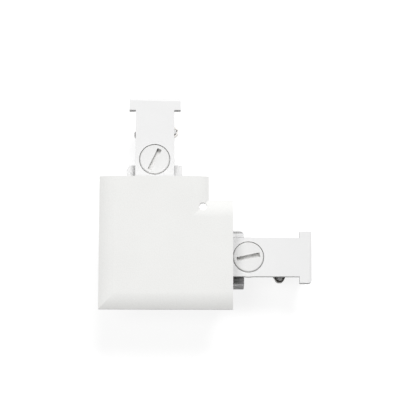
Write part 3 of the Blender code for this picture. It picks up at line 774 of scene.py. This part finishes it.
@dataclass
class Insert:
    """One track insert: its face shell, carrier, lock cam, washer and screws.

    Args:
        leg: the leg of the corner that it leaves.
        shell_edge: the width of the rounded edges of its two shells, in metres.
        cam_edge: that of its lock cam's.
        screw_edge: that of its washer's and screws'.
    """

    leg: Leg
    shell_edge: float = 0.2 * MM
    cam_edge: float = 0.12 * MM
    screw_edge: float = 0.08 * MM

    def build(self, dresser: Dresser, finishes: Finishes) -> None:
        """Dresses every piece of the insert.

        Args:
            dresser: what puts the finishes on.
            finishes: the finishes.
        """
        leg = self.leg.value
        dresser.dress(f"insert_face_{leg}", finishes.insert, self.shell_edge)
        dresser.dress(f"insert_carrier_{leg}", finishes.carrier, self.shell_edge)
        dresser.dress(f"lock_cam_{leg}", finishes.cam, self.cam_edge)
        dresser.dress(f"cam_washer_{leg}", finishes.zinc, self.screw_edge)
        for place in ("inner", "outer"):
            dresser.dress(f"insert_screw_{leg}_{place}", finishes.zinc, self.screw_edge)


@dataclass
class Wiring:
    """The conductor bars, the earth strip, and the terminal nest with its clamps and screws.

    Args:
        strip_edge: the width of the rounded edges of the strips and the clamp screws, in metres.
        clamp_edge: that of the nest's and the clamps'.
    """

    strip_edge: float = 0.1 * MM
    clamp_edge: float = 0.15 * MM

    def build(self, dresser: Dresser, finishes: Finishes) -> None:
        """Dresses every piece of the wiring.

        Args:
            dresser: what puts the finishes on.
            finishes: the finishes.
        """
        for lane in Lane:
            # the outer bars take the darkened copy of the tin, which is painted shade
            strip = finishes.painted_shade_strip if lane.outer else finishes.strip
            dresser.dress(f"bar_{lane.value}", strip, self.strip_edge)
        dresser.dress("earth_strip", finishes.strip, self.strip_edge)
        dresser.dress("terminal_block", finishes.nest, self.clamp_edge)
        for wire in (*(lane.value for lane in Lane), "earth"):
            dresser.dress(f"clamp_{wire}", finishes.brass, self.clamp_edge)
            dresser.dress(f"clamp_screw_{wire}", finishes.zinc, self.strip_edge)


@dataclass(frozen=True)
class Bow:
    """Where a conductor bar's contact spring bows out in one insert.

    Args:
        lane: the bar.
        leg: the insert's leg.
        reach: how far the bow's outer face stands from the leg's middle line, in metres.
    """

    lane: Lane
    leg: Leg
    reach: float


@dataclass
class ContactRibs:
    """The carriers' ribs behind the contact springs, which fill each bow as far as the spring's play.

    The bows' sizes are those of the CAD part. A rib starts a hair off the carrier's web, and its heights
    come from its bar's box.

    Args:
        bows: every bow.
        middles: the middle of the bows along each leg, in metres.
        lane: how far a bar's middle line is from the leg's, in metres.
        strip_half: half of a bar's thickness, in metres.
        crown: half of the flat top of a bow, in metres.
        slope: the length of each of its flanks, in metres.
        web: how far from the leg's middle line a rib starts, in metres.
        least: how far the points of its curved side stand from there at least, in metres.
        spring_room: the room between that side and the bar's middle line, in metres.
        channel_room: how far a rib reaches past the bar's edges, in metres.
        edge: the width of its rounded edges, in metres.
        steps: how many stretches a whole bow is drawn in.
    """

    bows: tuple[Bow, ...] = (
        Bow(Lane.OUTER_UPPER, Leg.X, 12.0 * MM),
        Bow(Lane.OUTER_UPPER, Leg.Y, 10.2 * MM),
        Bow(Lane.OUTER_LOWER, Leg.X, 10.2 * MM),
        Bow(Lane.OUTER_LOWER, Leg.Y, 11.0 * MM),
        Bow(Lane.INNER_UPPER, Leg.X, 10.2 * MM),
        Bow(Lane.INNER_UPPER, Leg.Y, 12.0 * MM),
        Bow(Lane.INNER_LOWER, Leg.X, 11.0 * MM),
        Bow(Lane.INNER_LOWER, Leg.Y, 10.2 * MM),
    )
    middles: tuple[tuple[Leg, float], ...] = ((Leg.X, 64.6 * MM), (Leg.Y, 67.1 * MM))
    lane: float = 5.2 * MM
    strip_half: float = 0.4 * MM
    crown: float = 0.8 * MM
    slope: float = 4.2 * MM
    web: float = 4.52 * MM
    least: float = 0.3 * MM
    spring_room: float = 0.6 * MM
    channel_room: float = 0.93 * MM
    edge: float = 0.12 * MM
    steps: int = 20

    def build(self, dresser: Dresser, finishes: Finishes) -> None:
        """Builds and dresses the rib of every bow.

        Args:
            dresser: what puts the finishes on.
            finishes: the finishes.
        """
        middles = dict(self.middles)
        for bow in self.bows:
            side = -1.0 if bow.lane.outer else 1.0
            outline = [
                (along, side * across) if bow.leg is Leg.X else (side * across, along)
                for along, across in self._outline(middles[bow.leg], bow.reach)
            ]
            name = f"contact_rib_{bow.leg.value}_{bow.lane.value}"
            rib = self._prism(name, outline, self._levels(bow.lane))
            dresser.coat(rib, finishes.carrier, self.edge)
            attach(rib, "connector")

    def _levels(self, lane: Lane) -> Span:
        """The heights between which a rib stands.

        Args:
            lane: the bar in front of it.

        Returns:
            The lower and the upper height, which is the bar's middle on the outer bars.
        """
        low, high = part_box(f"bar_{lane.value}")
        top = (low.z + high.z) / 2 if lane.outer else high.z + self.channel_room
        return low.z - self.channel_room, top

    def _outline(self, middle: float, reach: float) -> list[Point]:
        """The rib in plan, from the web out to the inside of the bow.

        Args:
            middle: the middle of the bow along the leg, in metres.
            reach: how far out the bow's outer face stands, in metres.

        Returns:
            The points (along the leg, across it).
        """
        tall = reach - self.lane - self.strip_half
        half = self.slope + self.crown
        points = []
        for step in range(self.steps + 1):
            along = half * (2.0 * step / self.steps - 1.0)
            turn = math.pi * max(abs(along) - self.crown, 0.0) / self.slope
            swell = tall / 2.0 * (1.0 + math.cos(turn))
            rise = math.copysign(tall / 2.0 * math.pi / self.slope * math.sin(turn), -along)
            inward = self.spring_room / math.hypot(rise, 1.0)
            across = self.lane + swell - inward
            if across > self.web + self.least:
                points.append((middle + along + rise * inward, across))
        return [(points[0][0], self.web), *points, (points[-1][0], self.web)]

    def _prism(self, name: str, outline: list[Point], levels: Span) -> bpy.types.Object:
        """An upright prism over a plan.

        Args:
            name: the piece's name.
            outline: its plan.
            levels: the heights of its ends, in metres.

        Returns:
            The new piece.
        """
        count = len(outline)
        verts = [(x, y, z) for z in levels for x, y in outline]
        sides = [(i, (i + 1) % count, count + (i + 1) % count, count + i) for i in range(count)]
        ends = [tuple(range(count))[::-1], tuple(range(count, 2 * count))]
        mesh = bpy.data.meshes.new(name)
        mesh.from_pydata(verts, [], sides + ends)
        shape = bmesh.new()
        shape.from_mesh(mesh)
        bmesh.ops.recalc_face_normals(shape, faces=shape.faces)
        shape.to_mesh(mesh)
        shape.free()
        piece = bpy.data.objects.new(name, mesh)
        bpy.context.scene.collection.objects.link(piece)
        return piece


@dataclass(frozen=True)
class Panel:
    """A square soft light.

    Args:
        name: its name.
        toward: the direction from the object to it.
        away: its distance, in metres.
        side: its side, in metres.
        power: its power, in watts.
    """

    name: str
    toward: Direction
    away: float
    side: float
    power: float

    def hang(self, centre: Vector) -> None:
        """Hangs the light and aims it.

        Args:
            centre: what it aims at.
        """
        data = bpy.data.lights.new(self.name, "AREA")
        data.size = self.side
        data.energy = self.power
        lamp = bpy.data.objects.new(self.name, data)
        direction = Vector(self.toward).normalized()
        lamp.location = centre + direction * self.away
        lamp.rotation_euler = direction.to_track_quat("Z", "Y").to_euler()
        bpy.context.scene.collection.objects.link(lamp)


@dataclass
class Studio:
    """The pale floor, the soft lights and the camera of the photograph.

    Args:
        centre: the middle of the object, where the lights aim.
        face_height: the height of the cover's face above the floor, in metres.
        key: the main light.
        fill: the light of the shaded sides.
        aim_x: where the camera aims on the cover's face, in metres.
        aim_y: the same along Y.
        elevation: the camera's height above the horizon, in degrees.
        roll: how far its picture is turned, in degrees.
        distance: how far it stands from its aim, in metres.
        near: where it starts to see, in metres.
        sensor: the width of its sensor, in millimetres.
        picture_pixels: the width of the photograph.
        pixels_per_mm: the photograph's scale at the cover's face.
        floor_side: the floor's side, in metres.
        floor_drop: how far the floor lies below the object, in metres.
        floor_grey: the floor's own linear grey.
        floor_roughness: its roughness.
        floor_specular: how strongly it shines.
        floor_glow: what it adds where the camera or a reflection sees it, which makes it white.
        room: the strength of the room's own light.
    """

    centre: Vector
    face_height: float
    key: Panel = Panel("key_panel", toward=(0.23, 0.78, 1.0), away=6.0, side=2.6, power=326.0)
    fill: Panel = Panel("fill_panel", toward=(-0.4, -0.1, 1.0), away=2.5, side=1.0, power=19.0)
    aim_x: float = 23.5 * MM
    aim_y: float = 27.9 * MM
    elevation: float = 79.9
    roll: float = 0.15
    distance: float = 1.0
    near: float = 0.05
    sensor: float = 36.0
    picture_pixels: int = 400
    pixels_per_mm: float = 1.96
    floor_side: float = 3.0
    floor_drop: float = 0.3 * MM
    floor_grey: Colour = (0.25, 0.25, 0.25)
    floor_roughness: float = 0.9
    floor_specular: float = 0.1
    floor_glow: float = 0.86
    room: float = 0.06

    def build(self) -> None:
        """Sets the floor, the world, the lights and the camera."""
        self._floor()
        self._world()
        self.key.hang(self.centre)
        self.fill.hang(self.centre)
        self._camera()
        LOG.info("studio set")

    def _floor(self) -> None:
        """A plain floor that the camera sees as white, with the object's shadow kept."""
        half = self.floor_side / 2
        mesh = bpy.data.meshes.new("studio_floor")
        corners = [(-half, -half), (half, -half), (half, half), (-half, half)]
        verts = [(x + self.centre.x, y + self.centre.y, -self.floor_drop) for x, y in corners]
        mesh.from_pydata(verts, [], [tuple(range(len(verts)))])
        floor = bpy.data.objects.new("studio_floor", mesh)
        bpy.context.scene.collection.objects.link(floor)
        material, graph, shader = start_material("studio_white")
        graph.feed(shader, "Base Color", opaque(self.floor_grey))
        graph.feed(shader, "Roughness", self.floor_roughness)
        graph.feed(shader, "Specular IOR Level", self.floor_specular)
        graph.feed(shader, "Emission Color", opaque(WHITE))
        graph.feed(shader, "Emission Strength", self._seen_as_white(graph, self.floor_glow))
        mesh.materials.append(material)
        floor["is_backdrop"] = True

    def _seen_as_white(self, graph: Graph, strength: float) -> bpy.types.NodeSocket:
        """A strength that only the camera, and what it sees in gloss or through glass, meets.

        Args:
            graph: the tree to add to.
            strength: the strength there.

        Returns:
            The strength's socket.
        """
        path = graph.add("ShaderNodeLightPath").outputs
        seen = graph.sum("MAXIMUM", path["Is Camera Ray"], path["Is Glossy Ray"])
        seen = graph.sum("MAXIMUM", seen, path["Is Transmission Ray"])
        return graph.sum("MULTIPLY", seen, strength)

    def _world(self) -> None:
        """A soft grey room, white where the camera looks past the floor."""
        world = bpy.data.worlds.new("studio_room")
        bpy.context.scene.world = world
        world.use_nodes = True
        graph = Graph(world.node_tree)
        background = world.node_tree.nodes["Background"]
        graph.feed(background, "Color", opaque(WHITE))
        white = self._seen_as_white(graph, 1.0)
        graph.feed(background, "Strength", graph.sum("MAXIMUM", white, self.room))

    def _camera(self) -> None:
        """Places the camera at the photograph's angle and scale."""
        data = bpy.data.cameras.new("photo_camera")
        data.sensor_width = self.sensor
        data.lens = self.pixels_per_mm / MM * self.distance / self.picture_pixels * self.sensor
        data.clip_start = self.near
        camera = bpy.data.objects.new("photo_camera", data)
        tilt = Matrix.Rotation(math.radians(90.0 - self.elevation), 3, "X")
        back = tilt @ Vector((0.0, 0.0, self.distance))
        camera.location = Vector((self.aim_x, self.aim_y, self.face_height)) + back
        camera.rotation_euler = (tilt @ Matrix.Rotation(math.radians(self.roll), 3, "Z")).to_euler()
        bpy.context.scene.collection.objects.link(camera)
        bpy.context.scene.camera = camera


def main() -> None:
    """Loads the frame, dresses each sub-assembly in turn and sets the studio."""
    logging.basicConfig(level=logging.INFO, format="%(name)s: %(message)s")
    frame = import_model()
    cad_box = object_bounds()
    bpy.context.scene.view_settings.view_transform = "Standard"
    finishes = Finishes()
    dresser = Dresser(frame["nodes"], Effects())
    for assembly in (Body(), Insert(Leg.X), Insert(Leg.Y), Wiring(), ContactRibs()):
        assembly.build(dresser, finishes)
    low, high = cad_box
    Studio(centre=(low + high) / 2, face_height=high.z).build()


if __name__ == "__main__":
    main()
